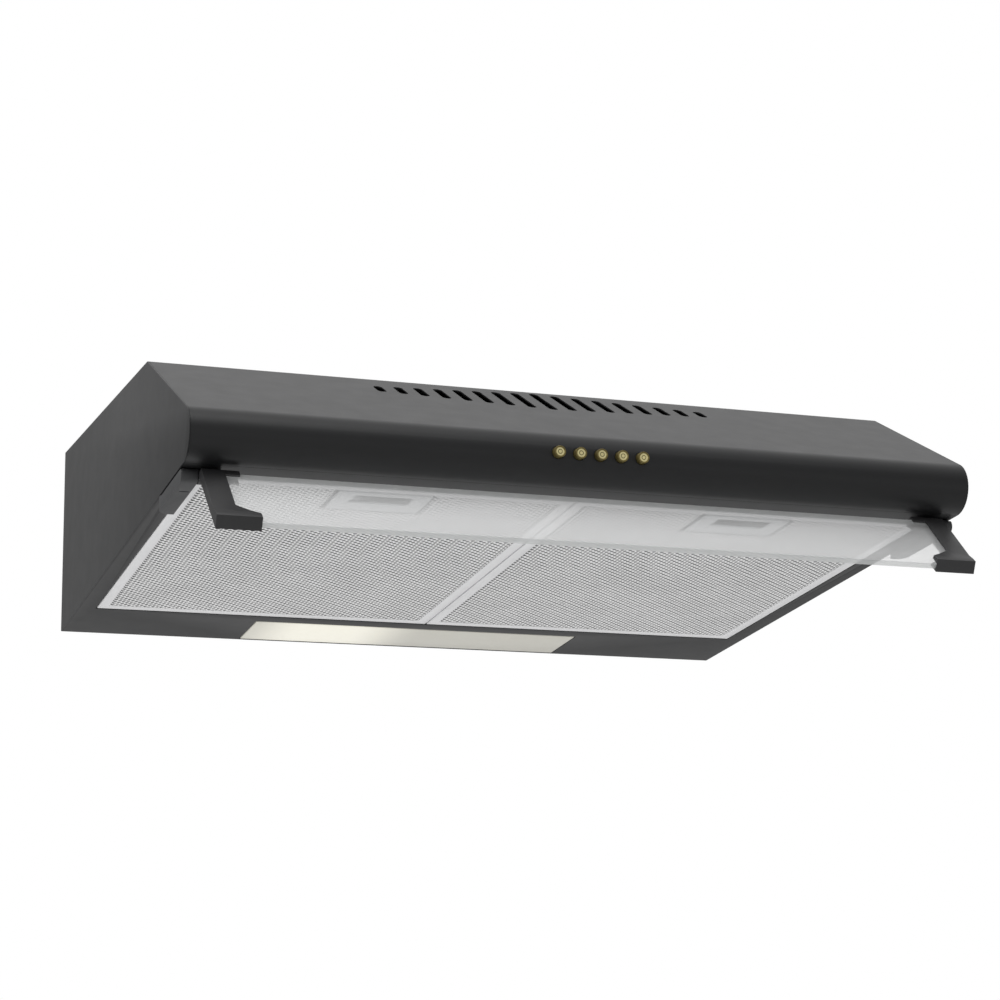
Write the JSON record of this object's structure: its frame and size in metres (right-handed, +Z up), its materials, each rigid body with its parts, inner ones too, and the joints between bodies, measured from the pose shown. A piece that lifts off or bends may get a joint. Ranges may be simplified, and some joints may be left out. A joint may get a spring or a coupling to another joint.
{
  "type": "under-cabinet range hood",
  "caption": "Black under-cabinet range hood with a round nose, push buttons, mesh grease filters, a lamp panel and a tilting glass visor over a built-in blower.",
  "frame": {"origin": "centre of the four cabinet bolt holes, on the outside of the hood's top face", "axes": "+X across the hood, to the right seen from the front; +Y back towards the wall; +Z up, through the top face. The front with the visor and the buttons faces -Y."},
  "size_m": [0.6, 0.5131, 0.18],
  "materials": {
    "black_steel": "satin powder coat",
    "galvanised": "galvanised sheet",
    "black_plastic": "fine grain",
    "white_plastic": "smooth",
    "brass": "satin",
    "copper": "enamelled wire",
    "bright_steel": "ground",
    "filter_white": "satin white",
    "filter_aluminium": "expanded sheet",
    "visor_glass": "smooth, slightly milky",
    "lamp_glass": "frosted",
    "lamp_diffuser": "ribbed inside, smooth outside"
  },
  "bodies": {
    "housing": {"canopy": "black_steel", "left_side": "black_steel", "right_side": "black_steel", "back_panel": "black_steel", "underside_panel": "black_steel", "centre_bar": "galvanised", "inner_pan": "galvanised", "scroll_casing": "black_plastic", "scroll_cover": "black_plastic", "inlet_grille": "black_plastic", "motor_stator": "galvanised", "motor_windings": "copper", "motor_lower_bracket": "galvanised", "motor_upper_bracket": "galvanised", "motor_bushes": "brass", "motor_screws": "bright_steel", "outlet_box": "black_plastic", "duct_collar": "black_plastic", "flap_pin": "bright_steel", "capacitor": "white_plastic", "terminal_box": "white_plastic", "terminal_lid": "white_plastic", "cable_gland": "black_plastic", "wiring": "black_plastic", "housing_screws": "bright_steel", "switch_bracket": "galvanised", "switch_block": "black_plastic", "button_springs": "bright_steel", "lamp_pan": "galvanised", "lamp_holder": "white_plastic", "lamp": "lamp_glass", "left_hinge_block": "black_plastic", "right_hinge_block": "black_plastic", "hinge_pins": "bright_steel"},
    "fan": {"impeller": "galvanised", "rotor": "galvanised", "motor_shaft": "bright_steel"},
    "rear_flap": {"rear_flap": "black_plastic"},
    "front_flap": {"front_flap": "black_plastic"},
    "diverter": {"diverter_flap": "white_plastic"},
    "lamp_door": {"lamp_cover": "lamp_diffuser"},
    "visor": {"visor_glass": "visor_glass", "left_visor_bracket": "black_plastic", "right_visor_bracket": "black_plastic"},
    "button_1": {"button_1": "brass"},
    "button_2": {"button_2": "brass"},
    "button_3": {"button_3": "brass"},
    "button_4": {"button_4": "brass"},
    "button_5": {"button_5": "brass"},
    "left_filter": {"left_filter_frame": "filter_white", "left_filter_mesh": "filter_aluminium", "left_latch_plate": "filter_aluminium"},
    "left_latch": {"left_latch_slide": "filter_aluminium", "left_latch_spring": "filter_aluminium"},
    "right_filter": {"right_filter_frame": "filter_white", "right_filter_mesh": "filter_aluminium", "right_latch_plate": "filter_aluminium"},
    "right_latch": {"right_latch_slide": "filter_aluminium", "right_latch_spring": "filter_aluminium"}
  },
  "joints": [
    {"name": "fan_spin", "type": "hinge", "parent": "housing", "child": "fan", "pos_m": [-0.096, -0.065, -0.05], "axis": [0, 0, 1], "continuous": true},
    {"name": "visor_tilt", "type": "hinge", "parent": "housing", "child": "visor", "pos_m": [0, -0.28341, -0.10801], "axis": [1, 0, 0], "range_deg": [-10, 131]},
    {"name": "lamp_cover_hinge", "type": "hinge", "parent": "housing", "child": "lamp_door", "pos_m": [0, 0.11215, -0.14511], "axis": [-1, 0, 0], "range_deg": [0, 75]},
    {"name": "rear_flap_hinge", "type": "hinge", "parent": "housing", "child": "rear_flap", "pos_m": [0, 0.095, 0.008], "axis": [1, 0, 0], "range_deg": [0, 70]},
    {"name": "front_flap_hinge", "type": "hinge", "parent": "housing", "child": "front_flap", "pos_m": [0, 0.095, 0.008], "axis": [-1, 0, 0], "range_deg": [0, 70]},
    {"name": "diverter_hinge", "type": "hinge", "parent": "housing", "child": "diverter", "pos_m": [0, 0.027, -0.0305], "axis": [1, 0, 0], "range_deg": [0, 38]},
    {"name": "left_filter_hinge", "type": "hinge", "parent": "housing", "child": "left_filter", "pos_m": [-0.1426, 0.09069, -0.14445], "axis": [1, 0, 0], "range_deg": [0, 60], "deforming": ["left_latch_spring"]},
    {"name": "left_latch_slide", "type": "slide", "parent": "left_filter", "child": "left_latch", "axis": [0, 0.9934, -0.1145], "range_m": [0, 0.005], "stiffness_N_per_m": 300, "springref_m": -0.003, "deforming": ["left_latch_spring"]},
    {"name": "right_filter_hinge", "type": "hinge", "parent": "housing", "child": "right_filter", "pos_m": [0.1426, 0.09069, -0.14445], "axis": [1, 0, 0], "range_deg": [0, 60], "deforming": ["right_latch_spring"]},
    {"name": "right_latch_slide", "type": "slide", "parent": "right_filter", "child": "right_latch", "axis": [0, 0.9934, -0.1145], "range_m": [0, 0.005], "stiffness_N_per_m": 300, "springref_m": -0.003, "deforming": ["right_latch_spring"]},
    {"name": "button_1_press", "type": "slide", "parent": "housing", "child": "button_1", "axis": [0, 1, 0], "range_m": [0, 0.003], "stiffness_N_per_m": 400, "springref_m": -0.002, "deforming": ["button_springs"]},
    {"name": "button_2_press", "type": "slide", "parent": "housing", "child": "button_2", "axis": [0, 1, 0], "range_m": [0, 0.003], "stiffness_N_per_m": 400, "springref_m": -0.002, "deforming": ["button_springs"]},
    {"name": "button_3_press", "type": "slide", "parent": "housing", "child": "button_3", "axis": [0, 1, 0], "range_m": [0, 0.003], "stiffness_N_per_m": 400, "springref_m": -0.002, "deforming": ["button_springs"]},
    {"name": "button_4_press", "type": "slide", "parent": "housing", "child": "button_4", "axis": [0, 1, 0], "range_m": [0, 0.003], "stiffness_N_per_m": 400, "springref_m": -0.002, "deforming": ["button_springs"]},
    {"name": "button_5_press", "type": "slide", "parent": "housing", "child": "button_5", "axis": [0, 1, 0], "range_m": [0, 0.003], "stiffness_N_per_m": 400, "springref_m": -0.002, "deforming": ["button_springs"]}
  ]
}
